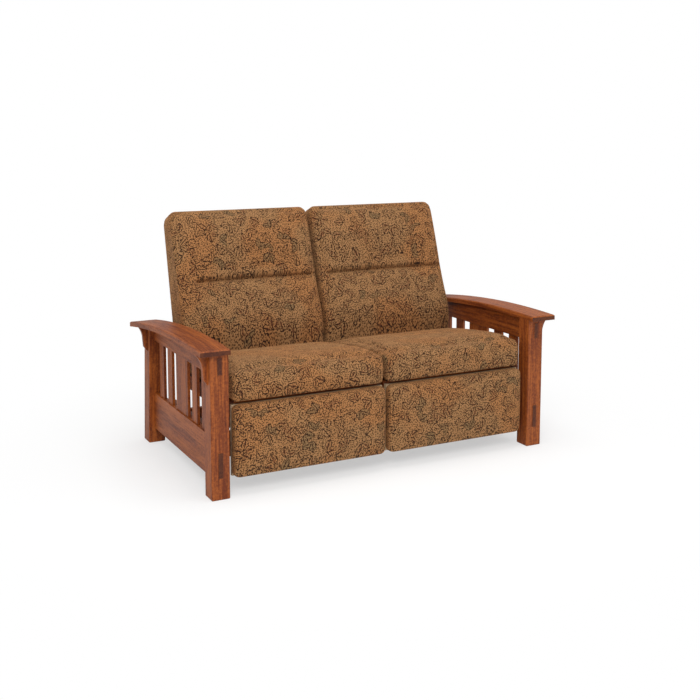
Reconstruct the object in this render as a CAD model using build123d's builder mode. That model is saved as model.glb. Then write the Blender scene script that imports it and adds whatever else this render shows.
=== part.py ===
from build123d import *
from math import cos, radians, sin, tan
import os

# Reclining loveseat for two: slatted wooden arms, two seats that each slide forward
# on swing links as the back leans, and two footrests on parallel links.
# Millimetres, +Z up, +X to the sitter's left, the front towards -Y.
# The origin is on the floor under the middle of the whole.
# Left and right in the names are as seen from the front, so left is on the -X side.

# Seats and spaces across the width
seat_width = 683
seat_gap = 10
arm_clearance = 23.5

# Posts and arms
post_size = 76
post_chamfer = 3
rear_post_rake = 40
post_spacing = 905
arm_length = 959
arm_front_overhang = 24
arm_side_overhang = 47
arm_thickness = 22
arm_chamfer = 4
arm_front_height = 597
arm_rear_height = 548
arm_bow = 24.5

# Side rails, tenons and slats
rail_thickness = 25
rail_chamfer = 2
upper_rail_front_drop = 117
upper_rail_rear_drop = 68
lower_rail_bottom = 70
lower_rail_height = 165
tenon_thickness = 20
tenon_shoulder = 14
rear_tenon_shoulder = 7
lower_tenon_shoulder = 17
lower_tenon_height = 101
tenon_proud = 2
slat_thickness = 12
narrow_slat = 60
wide_slat = 148
slat_tenon_length = 12
slat_tenon_thickness = 8
slat_tenon_shoulder = 5

# Corbels under the overhang of the arms
corbel_height = 123
corbel_thickness = 20
corbel_waist = 19
corbel_nose = 16
corbel_waist_share = 0.55
corbel_nose_share = 0.82

# Base between the arms
stretcher_height = 80
stretcher_thickness = 24
front_stretcher_setback = 280
rear_stretcher_gap = 20
runner_height = 55
runner_front_setback = 160
cleat_length = 50
cleat_thickness = 4

# Steel of the mechanism: flat links in layers one pitch apart, counted inwards from
# the seat plates
plate_thickness = 4
layer_gap = 1
base_layer = -2
swing_layer = -1
seat_layer = 0
link_layer = 1
carrier_layer = 2
footrest_layer = 3
link_radius = 9
pivot_radius = 5
pivot_clearance = 0.05
head_radius = 8
head_height = 2
eye_radius = 12
lug_spread = 24

# Seat frame
frame_rail_inset = 1.5
frame_rail_thickness = 20
frame_rail_height = 60
frame_board_height = 22
frame_board_depth = 60
frame_top = 366
frame_setback = 70
frame_depth = 522
webbing_width = 50
webbing_thickness = 2
webbing_count = 6

# Swing links under the seat
swing_length = 100
swing_lean = 30
swing_base_height = 205
front_swing_setback = 200
swing_spacing = 270
bracket_bottom = 155
bracket_end = 35
seat_plate_height = 40
seat_plate_bottom = 303
seat_plate_setback = 94

# Recline hinge behind the seat frame, and the back behind the hinge
hinge_gap = 58
hinge_height = 340
back_rake = 14.5
back_standoff = 86
back_bottom = 378
back_height = 1065
back_panel_thickness = 6
back_panel_inset = 16
back_board_thickness = 20
back_board_inset = 32
back_bracket_reach = 210
back_bracket_width = 34

# Footrest linkage: two parallelograms one after the other
footrest_link = 210
footrest_link_angle = -62
link_pivot_setback = 150
link_pivot_height = 318
control_offset = 45
control_angle = 163
carrier_front_setback = 92
carrier_front_height = 258
tilt_offset = 40
tilt_angle = 96
torsion_tube_radius = 8
torsion_tube_wall = 2
torsion_tube_share = 0.31

# Footrest
footrest_bottom = 67
footrest_top = 361
footrest_depth = 67
footrest_board_thickness = 15
footrest_board_inset = 4
footrest_bracket_foot = 30
footrest_bracket_height = 110

# Seat cushion
cushion_setback = 26
cushion_rear_overhang = 1
cushion_side_height = 489
cushion_crown = 16
cushion_front_bulge = 9
cushion_edge_radius = 22
cushion_draw_in = 14

# Back cushion
back_front_rake = 19
back_waist_height = 506
back_cushion_gap = 6
back_crown = 14
back_crease_height = 750
back_crease_depth = 16
back_corner = 30
back_draw_in = 13
back_top_draw = 40

# Footrest pad
pad_crown = 8
pad_edge_radius = 18
pad_draw_in = 12

# One overrun serves all cuts
overrun = 50

# Places worked out from the sizes above
front_y = -arm_length / 2 + arm_front_overhang
arm_inner_x = seat_gap / 2 + seat_width + arm_clearance
post_x = arm_inner_x + post_size / 2
arm_outer_x = arm_inner_x + post_size + arm_side_overhang
rail_inner_x = post_x - rail_thickness / 2
seat_x = -(seat_gap + seat_width) / 2
arm_rear_y = front_y - arm_front_overhang + arm_length
lower_rail_top = lower_rail_bottom + lower_rail_height
runner_bottom = lower_rail_bottom + stretcher_height
runner_top = runner_bottom + runner_height
cushion_bottom = frame_top + webbing_thickness
plate_face = seat_width / 2 - frame_rail_inset - frame_rail_thickness
layer_pitch = plate_thickness + layer_gap
arm_peak = max(arm_front_height, arm_rear_height) + arm_bow
frame_end_setback = frame_setback + frame_depth
hinge_setback = frame_end_setback + hinge_gap
back_rear_setback = hinge_setback + back_standoff
cushion_depth = frame_end_setback + cushion_rear_overhang - cushion_setback
back_waist_setback = cushion_setback + cushion_depth + back_cushion_gap


def turned(origin, length, angle):
    """The point at this length and angle, in degrees, from an origin in the side view."""
    return (origin[0] + length * cos(radians(angle)), origin[1] + length * sin(radians(angle)))


def side_point(setback, height):
    """A point of the side view, from its distance behind the front posts' faces."""
    return (front_y + setback, height)


# Pivots in the side view at rest, as (y, z)
swing_angle = 90 - swing_lean
front_base_pivot = side_point(front_swing_setback, swing_base_height)
rear_base_pivot = side_point(front_swing_setback + swing_spacing, swing_base_height)
front_seat_pivot = turned(front_base_pivot, swing_length, swing_angle)
rear_seat_pivot = turned(rear_base_pivot, swing_length, swing_angle)
recline_pivot = side_point(hinge_setback, hinge_height)
main_pivot = side_point(link_pivot_setback, link_pivot_height)
control_pivot = turned(main_pivot, control_offset, control_angle)
knee_pivot = turned(main_pivot, footrest_link, footrest_link_angle)
knee_control_pivot = turned(knee_pivot, control_offset, control_angle)
knee_tilt_pivot = turned(knee_pivot, tilt_offset, tilt_angle)
carrier_pivot = side_point(carrier_front_setback, carrier_front_height)
tilt_pivot = turned(carrier_pivot, tilt_offset, tilt_angle)
torsion_centre = turned(main_pivot, footrest_link * torsion_tube_share, footrest_link_angle)


def layer_x(layer):
    """Outer face of a steel layer on the left seat's outer side; layers count inwards."""
    return seat_x - plate_face + layer * layer_pitch


def side_plane(x):
    """The side view as a sketching plane: its own x is the object's Y, its own y is Z."""
    return Plane.YZ.offset(x)


seat_mirror = Plane.YZ.offset(seat_x)
left_pieces = {}
shared_pieces = {}


# The arm board's curve, shared by everything that ends beneath it
def arm_curve(drop):
    """The arm's long arc in the side view, lowered by a distance."""
    chord_middle = (arm_front_height + arm_rear_height) / 2 - drop
    return ThreePointArc(
        (front_y - arm_front_overhang, arm_front_height - drop),
        (front_y - arm_front_overhang + arm_length / 2, chord_middle + arm_bow),
        (arm_rear_y, arm_rear_height - drop),
    )


with BuildPart() as above_arms:
    with BuildSketch(side_plane(0)):
        with BuildLine():
            underside = arm_curve(arm_thickness)
            Polyline(
                underside @ 1,
                (arm_rear_y, arm_peak + overrun),
                (front_y - arm_front_overhang, arm_peak + overrun),
                underside @ 0,
            )
        make_face()
    extrude(amount=arm_outer_x + overrun, both=True)


def rear_post_front(height):
    """The Y of the raked rear post's front face at a height."""
    foot_y = front_y + post_spacing - post_size
    return foot_y - rear_post_rake * height / arm_rear_height


# Arm board
with BuildPart() as arm_top:
    with BuildSketch(side_plane(-arm_outer_x)):
        with BuildLine():
            upper = arm_curve(0)
            lower = arm_curve(arm_thickness)
            Line(upper @ 0, lower @ 0)
            Line(upper @ 1, lower @ 1)
        make_face()
    extrude(amount=arm_outer_x - arm_inner_x)
    chamfer(arm_top.faces().sort_by(Axis.Z)[-1].edges(), arm_chamfer)
left_pieces["arm_top"] = arm_top

# The upper rail's underside runs straight, from its own drop below each end of the arm
rail_front_bottom = arm_front_height - upper_rail_front_drop
rail_slope = (arm_rear_height - upper_rail_rear_drop - rail_front_bottom) / arm_length


def rail_underside(y):
    """Height of the upper rail's underside at a place along the arm."""
    return rail_front_bottom + rail_slope * (y - front_y + arm_front_overhang)


# Where that line meets the front face of the raked rear post
rake_slope = rear_post_rake / arm_rear_height
rail_rear_bottom = rail_underside(rear_post_front(0)) / (1 + rail_slope * rake_slope)

front_tenon_bottom = rail_underside(front_y + post_size) + tenon_shoulder
rear_tenon_bottom = rail_rear_bottom + tenon_shoulder
front_tenon_top = arm_front_height - arm_thickness - tenon_shoulder
rear_tenon_top = arm_rear_height - arm_thickness - rear_tenon_shoulder
lower_tenon_bottom = lower_rail_bottom + lower_tenon_shoulder
lower_tenon_top = lower_tenon_bottom + lower_tenon_height

# Front post with its two through mortises
with BuildPart() as front_post:
    with BuildSketch():
        with Locations((-post_x, front_y + post_size / 2)):
            Rectangle(post_size, post_size)
    extrude(amount=arm_peak)
    chamfer(front_post.edges().filter_by(Axis.Z), post_chamfer)
    chamfer(front_post.faces().sort_by(Axis.Z)[0].edges(), post_chamfer)
    add(above_arms.part, mode=Mode.SUBTRACT)
    for bottom, top in ((front_tenon_bottom, front_tenon_top), (lower_tenon_bottom, lower_tenon_top)):
        with BuildSketch(side_plane(-post_x)):
            with Locations(((front_y + post_size / 2), (bottom + top) / 2)):
                Rectangle(post_size + overrun, top - bottom)
        extrude(amount=tenon_thickness / 2, both=True, mode=Mode.SUBTRACT)
left_pieces["front_post"] = front_post

# Rear post, raked back towards the floor
with BuildPart() as rear_post:
    with BuildSketch(side_plane(-post_x)):
        with BuildLine():
            Polyline(
                (rear_post_front(0), 0),
                (rear_post_front(0) + post_size, 0),
                (rear_post_front(arm_peak) + post_size, arm_peak),
                (rear_post_front(arm_peak), arm_peak),
                close=True,
            )
        make_face()
    extrude(amount=post_size / 2, both=True)
    upright_edges = rear_post.edges().filter_by(lambda edge: edge.length > arm_peak)
    chamfer(upright_edges, post_chamfer)
    chamfer(rear_post.faces().sort_by(Axis.Z)[0].edges(), post_chamfer)
    add(above_arms.part, mode=Mode.SUBTRACT)
    for bottom, top in ((rear_tenon_bottom, rear_tenon_top), (lower_tenon_bottom, lower_tenon_top)):
        with BuildSketch(side_plane(-post_x)):
            with Locations((rear_post_front((bottom + top) / 2) + post_size / 2, (bottom + top) / 2)):
                Rectangle(post_size + overrun, top - bottom)
        extrude(amount=tenon_thickness / 2, both=True, mode=Mode.SUBTRACT)
left_pieces["rear_post"] = rear_post

post_inner_y = front_y + post_size


def tenon_end(height):
    """How far back a rear tenon reaches at a height, just proud of the raked post."""
    return rear_post_front(height) + post_size + tenon_proud


# Slats: two narrow, one wide, two narrow, evenly spaced between the posts
slat_widths = [narrow_slat, narrow_slat, wide_slat, narrow_slat, narrow_slat]
slat_middle_height = (lower_rail_top + rail_underside(0)) / 2
slat_room = rear_post_front(slat_middle_height) - post_inner_y
slat_space = (slat_room - sum(slat_widths)) / (len(slat_widths) + 1)
slat_places = []
next_slat_y = post_inner_y + slat_space
for width in slat_widths:
    slat_places.append(next_slat_y + width / 2)
    next_slat_y += width + slat_space

with BuildPart() as slats:
    for place, width in zip(slat_places, slat_widths):
        for half_width, beyond, thickness in (
            (width / 2, 0, slat_thickness),
            (width / 2 - slat_tenon_shoulder, slat_tenon_length, slat_tenon_thickness),
        ):
            near = place - half_width
            far = place + half_width
            with BuildSketch(side_plane(-post_x)):
                with BuildLine():
                    Polyline(
                        (near, lower_rail_top - beyond),
                        (far, lower_rail_top - beyond),
                        (far, rail_underside(far) + beyond),
                        (near, rail_underside(near) + beyond),
                        close=True,
                    )
                make_face()
            extrude(amount=thickness / 2, both=True)
left_pieces["slats"] = slats

# Upper rail, straight below and bowed above to meet the arm board
with BuildPart() as upper_rail:
    with BuildSketch(side_plane(-post_x)):
        with BuildLine():
            Polyline(
                (post_inner_y, rail_underside(post_inner_y)),
                (rear_post_front(rail_rear_bottom), rail_rear_bottom),
                (rear_post_front(arm_peak), arm_peak),
                (post_inner_y, arm_peak),
                close=True,
            )
        make_face()
    extrude(amount=rail_thickness / 2, both=True)
    with BuildSketch(side_plane(-post_x)):
        with BuildLine():
            Polyline(
                (front_y - tenon_proud, front_tenon_bottom),
                (post_inner_y, front_tenon_bottom),
                (rear_post_front(rear_tenon_bottom), rear_tenon_bottom),
                (tenon_end(rear_tenon_bottom), rear_tenon_bottom),
                (tenon_end(rear_tenon_top), rear_tenon_top),
                (rear_post_front(rear_tenon_top), rear_tenon_top),
                (post_inner_y, front_tenon_top),
                (front_y - tenon_proud, front_tenon_top),
                close=True,
            )
        make_face()
    extrude(amount=tenon_thickness / 2, both=True)
    add(above_arms.part, mode=Mode.SUBTRACT)
    add(slats.part, mode=Mode.SUBTRACT)
left_pieces["upper_rail"] = upper_rail

# Lower rail
with BuildPart() as lower_rail:
    with BuildSketch(side_plane(-post_x)):
        with BuildLine():
            Polyline(
                (post_inner_y, lower_rail_bottom),
                (rear_post_front(lower_rail_bottom), lower_rail_bottom),
                (rear_post_front(lower_rail_top), lower_rail_top),
                (post_inner_y, lower_rail_top),
                close=True,
            )
        make_face()
    extrude(amount=rail_thickness / 2, both=True)
    with BuildSketch(side_plane(-post_x)):
        with BuildLine():
            Polyline(
                (front_y - tenon_proud, lower_tenon_bottom),
                (tenon_end(lower_tenon_bottom), lower_tenon_bottom),
                (tenon_end(lower_tenon_top), lower_tenon_top),
                (front_y - tenon_proud, lower_tenon_top),
                close=True,
            )
        make_face()
    extrude(amount=tenon_thickness / 2, both=True)
    add(slats.part, mode=Mode.SUBTRACT)
left_pieces["lower_rail"] = lower_rail

# Corbels on the posts' outer faces, with a hollow curve under the arm
with BuildPart() as corbels:
    corbel_middle = (arm_front_height + arm_rear_height - corbel_height) / 2
    for middle_y, top in (
        (front_y + post_size / 2, arm_front_height),
        (rear_post_front(corbel_middle) + post_size / 2, arm_rear_height + arm_bow),
    ):
        post_face = -arm_inner_x - post_size
        seat_of_corbel = top - arm_thickness
        waist_height = seat_of_corbel - corbel_height * corbel_waist_share
        nose_height = seat_of_corbel - corbel_height * corbel_nose_share
        with BuildSketch(Plane.XZ.offset(-middle_y)):
            with BuildLine():
                Line((post_face, top), (-arm_outer_x, top))
                Line((-arm_outer_x, top), (-arm_outer_x, seat_of_corbel))
                TangentArc(
                    (-arm_outer_x, seat_of_corbel),
                    (post_face - corbel_waist, waist_height),
                    tangent=(1, -1),
                )
                Line((post_face - corbel_waist, waist_height), (post_face - corbel_nose, nose_height))
                Line(
                    (post_face - corbel_nose, nose_height),
                    (post_face, seat_of_corbel - corbel_height),
                )
                Line((post_face, seat_of_corbel - corbel_height), (post_face, top))
            make_face()
        extrude(amount=corbel_thickness / 2, both=True)
    add(above_arms.part, mode=Mode.SUBTRACT)
left_pieces["corbels"] = corbels

# Stretchers between the arms' lower rails
rear_stretcher_y = rear_post_front(runner_bottom) - rear_stretcher_gap - stretcher_thickness
stretcher_places = {
    "front_stretcher": front_y + front_stretcher_setback,
    "rear_stretcher": rear_stretcher_y,
}
for stretcher_name, stretcher_front in stretcher_places.items():
    with BuildPart() as stretcher:
        with BuildSketch(Plane.XY.offset(lower_rail_bottom)):
            with Locations((0, stretcher_front + stretcher_thickness / 2)):
                Rectangle(2 * rail_inner_x, stretcher_thickness)
        extrude(amount=stretcher_height)
        chamfer(stretcher.edges().filter_by(Axis.X), rail_chamfer)
    shared_pieces[stretcher_name] = stretcher

# Steel angle cleats that hold the stretchers to the lower rails
with BuildPart() as cleats:
    for stretcher_front in stretcher_places.values():
        with BuildSketch(Plane.XY.offset(lower_rail_bottom + rail_chamfer + cleat_thickness)):
            with BuildLine():
                Polyline(
                    (-rail_inner_x, stretcher_front),
                    (-rail_inner_x, stretcher_front - cleat_length),
                    (-rail_inner_x + cleat_thickness, stretcher_front - cleat_length),
                    (-rail_inner_x + cleat_thickness, stretcher_front - cleat_thickness),
                    (-rail_inner_x + cleat_length, stretcher_front - cleat_thickness),
                    (-rail_inner_x + cleat_length, stretcher_front),
                    close=True,
                )
            make_face()
        extrude(amount=cleat_length)
    mirror(about=Plane.YZ)
shared_pieces["stretcher_cleats"] = cleats

# Runners on the stretchers, one beside each arm and one under the middle
runner_front = front_y + runner_front_setback
runner_rear = rear_stretcher_y + stretcher_thickness
bracket_outer_x = layer_x(base_layer)
with BuildPart() as outer_runner:
    with BuildSketch(side_plane(bracket_outer_x)):
        with BuildLine():
            Polyline(
                (runner_front, runner_bottom),
                (runner_rear, runner_bottom),
                (runner_rear, runner_top),
                (runner_front, runner_top),
                close=True,
            )
        make_face()
    extrude(amount=-stretcher_thickness)
    chamfer(outer_runner.edges().filter_by(Axis.Y), rail_chamfer)
left_pieces["outer_runner"] = outer_runner

with BuildPart() as centre_runner:
    with BuildSketch(Plane.XY.offset(runner_bottom)):
        with Locations((0, (runner_front + runner_rear) / 2)):
            Rectangle(2 * (bracket_outer_x - 2 * seat_x), runner_rear - runner_front)
    extrude(amount=runner_height)
    chamfer(centre_runner.edges().filter_by(Axis.Y), rail_chamfer)
shared_pieces["centre_runner"] = centre_runner

stud_hole = pivot_radius + pivot_clearance


def stud(layer, pivot, turning_layer):
    """A rivet from one layer through the link that turns on it, with a head beyond."""
    if turning_layer > layer:
        start = layer_x(layer)
        shank_end = layer_x(turning_layer) + plate_thickness + pivot_clearance
        head_end = shank_end + head_height
    else:
        start = layer_x(layer) + plate_thickness
        shank_end = layer_x(turning_layer) - pivot_clearance
        head_end = shank_end - head_height
    with BuildSketch(side_plane(start)) as shank:
        with Locations(pivot):
            Circle(pivot_radius)
    extrude(shank.sketch, amount=shank_end - start)
    with BuildSketch(side_plane(shank_end)) as head:
        with Locations(pivot):
            Circle(head_radius)
    extrude(head.sketch, amount=head_end - shank_end)


def link_pair(layer, pivots, holes, studs=()):
    """A flat link on each side of the left seat: rounded over its pivots, drilled at
    the holes and carrying rivets, each named with the layer of what turns on it."""
    with BuildPart() as links:
        with BuildSketch(side_plane(layer_x(layer))):
            with Locations(*pivots):
                Circle(link_radius)
            make_hull()
            if holes:
                with Locations(*holes):
                    Circle(stud_hole, mode=Mode.SUBTRACT)
        extrude(amount=plate_thickness)
        for pivot, turning_layer in studs:
            stud(layer, pivot, turning_layer)
        mirror(about=seat_mirror)
    return links


# Brackets on the runners that carry the swing links
with BuildPart() as base_brackets:
    with BuildSketch(side_plane(bracket_outer_x)):
        with BuildLine():
            Polyline(
                (front_base_pivot[0] - bracket_end, bracket_bottom),
                (rear_base_pivot[0] + bracket_end, bracket_bottom),
                (rear_base_pivot[0] + bracket_end, runner_top - rail_chamfer),
                (front_base_pivot[0] - bracket_end, runner_top - rail_chamfer),
                close=True,
            )
        make_face()
        with Locations(front_base_pivot, rear_base_pivot):
            Circle(eye_radius)
    extrude(amount=plate_thickness)
    stud(base_layer, front_base_pivot, swing_layer)
    stud(base_layer, rear_base_pivot, swing_layer)
    mirror(about=seat_mirror)
left_pieces["base_brackets"] = base_brackets

# Swing links lean back at rest and swing forward as the back reclines
front_swing_pivots = [front_base_pivot, front_seat_pivot]
rear_swing_pivots = [rear_base_pivot, rear_seat_pivot]
left_pieces["front_swing_links"] = link_pair(swing_layer, front_swing_pivots, front_swing_pivots)
left_pieces["rear_swing_links"] = link_pair(swing_layer, rear_swing_pivots, rear_swing_pivots)

# Side plates of the seat, which carry every pivot that moves with it
plate_front = front_y + seat_plate_setback
plate_rear = front_y + frame_end_setback
plate_top = seat_plate_bottom + seat_plate_height
with BuildPart() as seat_plates:
    with BuildSketch(side_plane(layer_x(seat_layer))):
        with BuildLine():
            Polyline(
                (plate_front, seat_plate_bottom),
                (plate_rear, seat_plate_bottom),
                (plate_rear, plate_top),
                (plate_front, plate_top),
                close=True,
            )
        make_face()
        for pivot in (front_seat_pivot, rear_seat_pivot):
            with BuildLine():
                Polyline(
                    (pivot[0] - eye_radius, pivot[1]),
                    (pivot[0] + eye_radius, pivot[1]),
                    (pivot[0] + lug_spread, plate_top),
                    (pivot[0] - lug_spread, plate_top),
                    close=True,
                )
            make_face()
            with Locations(pivot):
                Circle(eye_radius)
        with BuildLine():
            Polyline(
                (plate_rear, seat_plate_bottom),
                (recline_pivot[0], recline_pivot[1] - eye_radius),
                (recline_pivot[0], recline_pivot[1] + eye_radius),
                (plate_rear, plate_top),
                close=True,
            )
        make_face()
        with Locations(recline_pivot):
            Circle(eye_radius)
    extrude(amount=plate_thickness)
    for pivot in (front_seat_pivot, rear_seat_pivot, recline_pivot):
        stud(seat_layer, pivot, swing_layer)
    for pivot in (main_pivot, control_pivot):
        stud(seat_layer, pivot, link_layer)
    mirror(about=seat_mirror)
left_pieces["seat_plates"] = seat_plates

# Side rails of the seat frame, on edge outside the plates
frame_front = front_y + frame_setback
frame_rear = front_y + frame_end_setback
with BuildPart() as seat_rails:
    with BuildSketch(side_plane(layer_x(seat_layer))):
        with BuildLine():
            Polyline(
                (frame_front, frame_top),
                (frame_rear, frame_top),
                (frame_rear, frame_top - frame_rail_height),
                (frame_front, frame_top - frame_rail_height),
                close=True,
            )
        make_face()
    extrude(amount=-frame_rail_thickness)
    mirror(about=seat_mirror)
left_pieces["seat_rails"] = seat_rails

# Flat boards of the seat frame, across the front and the rear between the rails
with BuildPart() as seat_boards:
    with BuildSketch(Plane.XY.offset(frame_top - frame_board_height)):
        with Locations(
            (seat_x, frame_front + frame_board_depth / 2),
            (seat_x, frame_rear - frame_board_depth / 2),
        ):
            Rectangle(2 * plate_face, frame_board_depth)
    extrude(amount=frame_board_height)
left_pieces["seat_boards"] = seat_boards

# Webbing straps stretched from side rail to side rail
webbing_pitch = (frame_depth - webbing_width) / webbing_count
with BuildPart() as seat_webbing:
    with BuildSketch(Plane.XY.offset(frame_top)):
        with Locations((seat_x, (frame_front + frame_rear) / 2)):
            with GridLocations(0, webbing_pitch, 1, webbing_count):
                Rectangle(2 * (plate_face + frame_rail_thickness), webbing_width)
    extrude(amount=webbing_thickness)
left_pieces["seat_webbing"] = seat_webbing

# Footrest links: main and control links hang from the seat plates and swing forward
left_pieces["footrest_main_links"] = link_pair(
    link_layer,
    [main_pivot, knee_pivot, knee_tilt_pivot],
    [main_pivot],
    [(knee_pivot, carrier_layer), (knee_tilt_pivot, carrier_layer)],
)
left_pieces["footrest_control_links"] = link_pair(
    link_layer,
    [control_pivot, knee_control_pivot],
    [control_pivot],
    [(knee_control_pivot, carrier_layer)],
)
left_pieces["footrest_carrier_links"] = link_pair(
    carrier_layer,
    [knee_pivot, knee_control_pivot, carrier_pivot],
    [knee_pivot, knee_control_pivot, carrier_pivot],
)
left_pieces["footrest_tilt_links"] = link_pair(
    carrier_layer, [knee_tilt_pivot, tilt_pivot], [knee_tilt_pivot, tilt_pivot]
)

# Torsion tube between the main links, so that both sides rise together
tube_end_x = layer_x(link_layer) + plate_thickness
with BuildPart() as torsion_tube:
    with BuildSketch(side_plane(tube_end_x)):
        with Locations(torsion_centre):
            Circle(torsion_tube_radius)
            Circle(torsion_tube_radius - torsion_tube_wall, mode=Mode.SUBTRACT)
    extrude(amount=2 * (seat_x - tube_end_x))
left_pieces["footrest_torsion_tube"] = torsion_tube

# Footrest brackets, flanged against the board
board_rear = front_y + footrest_depth
board_front = board_rear - footrest_board_thickness
bracket_middle = (carrier_pivot[1] + tilt_pivot[1]) / 2
with BuildPart() as footrest_brackets:
    with BuildSketch(side_plane(layer_x(footrest_layer))):
        with Locations(carrier_pivot, tilt_pivot):
            Circle(link_radius)
        with Locations((board_rear + plate_thickness / 2, bracket_middle)):
            Rectangle(plate_thickness, footrest_bracket_height)
        make_hull()
    extrude(amount=plate_thickness)
    with BuildSketch(side_plane(layer_x(footrest_layer))):
        with Locations((board_rear + plate_thickness / 2, bracket_middle)):
            Rectangle(plate_thickness, footrest_bracket_height)
    extrude(amount=footrest_bracket_foot)
    stud(footrest_layer, carrier_pivot, carrier_layer)
    stud(footrest_layer, tilt_pivot, carrier_layer)
    mirror(about=seat_mirror)
left_pieces["footrest_brackets"] = footrest_brackets

with BuildPart() as footrest_board:
    with BuildSketch(Plane.XZ.offset(-board_rear)):
        with Locations((seat_x, (footrest_bottom + footrest_top) / 2)):
            Rectangle(
                seat_width - 2 * footrest_board_inset,
                footrest_top - footrest_bottom - 2 * footrest_board_inset,
            )
    extrude(amount=footrest_board_thickness)
left_pieces["footrest_board"] = footrest_board

# Soft pieces are lofts of side views, full in the middle and drawn in at the ends.
# Each station is a share of the half width with the share of the draw-in there, and
# a long middle lies between two short rounded ends.
near_end_shares = [(-1, 1), (-0.965, 0.3), (-0.9, 0)]
middle_shares = [(-0.9, 0), (-0.45, 0), (0, 0), (0.45, 0), (0.9, 0)]
far_end_shares = [(0.9, 0), (0.965, 0.3), (1, 1)]
cushion_shares = [near_end_shares, middle_shares, far_end_shares]
least_crown_share = 0.12
crown_flatness = 3


def end_fade(station):
    """Falls from one in the middle to nothing at the ends of the width."""
    return 1 - abs(station) ** crown_flatness


def crown_share(station):
    """How much of the crown is left at a station across the width."""
    return least_crown_share + (1 - least_crown_share) * end_fade(station)


# Footrest pad, crowned to the front
with BuildPart() as footrest_pad:
    for stretch_shares in cushion_shares:
        for station, drawn in stretch_shares:
            draw = pad_draw_in * drawn
            low = footrest_bottom + draw
            high = footrest_top - draw
            bend = pad_edge_radius
            face = front_y + pad_crown + draw
            crest = (face - pad_crown * crown_share(station), (low + high) / 2)
            with BuildSketch(side_plane(seat_x + station * seat_width / 2)):
                with BuildLine():
                    Line((board_front, high), (board_front, low))
                    Line((board_front, low), (face + bend, low))
                    RadiusArc((face + bend, low), (face, low + bend), bend)
                    ThreePointArc((face, low + bend), crest, (face, high - bend))
                    RadiusArc((face, high - bend), (face + bend, high), bend)
                    Line((face + bend, high), (board_front, high))
                make_face()
        loft()
left_pieces["footrest_pad"] = footrest_pad

# Seat cushion, crowned on top and bulging over the footrest
with BuildPart() as seat_cushion:
    for stretch_shares in cushion_shares:
        for station, drawn in stretch_shares:
            draw = cushion_draw_in * drawn
            near = front_y + cushion_setback + cushion_front_bulge + draw
            far = front_y + cushion_setback + cushion_depth - draw
            top = cushion_side_height - draw
            bend = cushion_edge_radius
            bulge = near - cushion_front_bulge * crown_share(station)
            crest = ((near + far) / 2, top + cushion_crown * crown_share(station))
            with BuildSketch(side_plane(seat_x + station * seat_width / 2)):
                with BuildLine():
                    Line((far, cushion_bottom), (near, cushion_bottom))
                    ThreePointArc(
                        (near, cushion_bottom),
                        (bulge, (cushion_bottom + top - bend) / 2),
                        (near, top - bend),
                    )
                    RadiusArc((near, top - bend), (near + bend, top), bend)
                    ThreePointArc((near + bend, top), crest, (far - bend, top))
                    RadiusArc((far - bend, top), (far, top - bend), bend)
                    Line((far, top - bend), (far, cushion_bottom))
                make_face()
        loft()
left_pieces["seat_cushion"] = seat_cushion

# Back: everything is set out from its rear plane, which leans back from the bottom
back_foot = side_point(back_rear_setback, back_bottom)
rear_lean = tan(radians(back_rake))
front_lean = tan(radians(back_front_rake))


def back_rear_y(height, depth):
    """The Y of a plane this deep inside the back's rear face, at a height."""
    return back_foot[0] + (height - back_bottom) * rear_lean - depth / cos(radians(back_rake))


def back_front_y(height):
    """The Y of the back cushion's raked front face at a height."""
    return front_y + back_waist_setback + (height - back_waist_height) * front_lean


def back_slab(low, high, near_depth, far_depth):
    """A closed outline in the side view between two depths inside the rear face."""
    Polyline(
        (back_rear_y(low, far_depth), low),
        (back_rear_y(low, near_depth), low),
        (back_rear_y(high, near_depth), high),
        (back_rear_y(high, far_depth), high),
        close=True,
    )


# The back's upper rear corner, level with the front edge along the slope of the top
top_drop = (back_rear_y(back_height, 0) - back_front_y(back_height)) * front_lean
back_rear_top = back_height - top_drop
board_top = back_rear_top - back_board_inset
board_half = plate_face + layer_gap
back_board_front = back_panel_thickness + back_board_thickness

# Outside back panel
with BuildPart() as back_panel:
    with BuildSketch(side_plane(seat_x)):
        with BuildLine():
            back_slab(back_bottom, back_rear_top - back_panel_inset, 0, back_panel_thickness)
        make_face()
    extrude(amount=seat_width / 2 - back_draw_in, both=True)
left_pieces["back_panel"] = back_panel

# Back board inside the cushion
with BuildPart() as back_board:
    with BuildSketch(side_plane(seat_x)):
        with BuildLine():
            back_slab(back_bottom, board_top, back_panel_thickness, back_board_front)
        make_face()
    extrude(amount=board_half, both=True)
left_pieces["back_board"] = back_board

# Back brackets: from the recline hinge up the edges of the back board
bracket_top = back_bottom + back_bracket_reach
bracket_deep = back_panel_thickness + back_bracket_width
with BuildPart() as back_brackets:
    with BuildSketch(side_plane(layer_x(swing_layer))):
        with BuildLine():
            back_slab(back_bottom, bracket_top, back_panel_thickness, bracket_deep)
        make_face()
        with BuildLine():
            Polyline(
                (recline_pivot[0] - eye_radius, recline_pivot[1]),
                (recline_pivot[0], recline_pivot[1] - eye_radius),
                (back_rear_y(back_bottom, back_panel_thickness), back_bottom),
                (back_rear_y(back_bottom, bracket_deep), back_bottom),
                close=True,
            )
        make_face()
        with Locations(recline_pivot):
            Circle(eye_radius)
        with Locations(recline_pivot):
            Circle(stud_hole, mode=Mode.SUBTRACT)
    extrude(amount=plate_thickness)
    mirror(about=seat_mirror)
left_pieces["back_brackets"] = back_brackets

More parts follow.
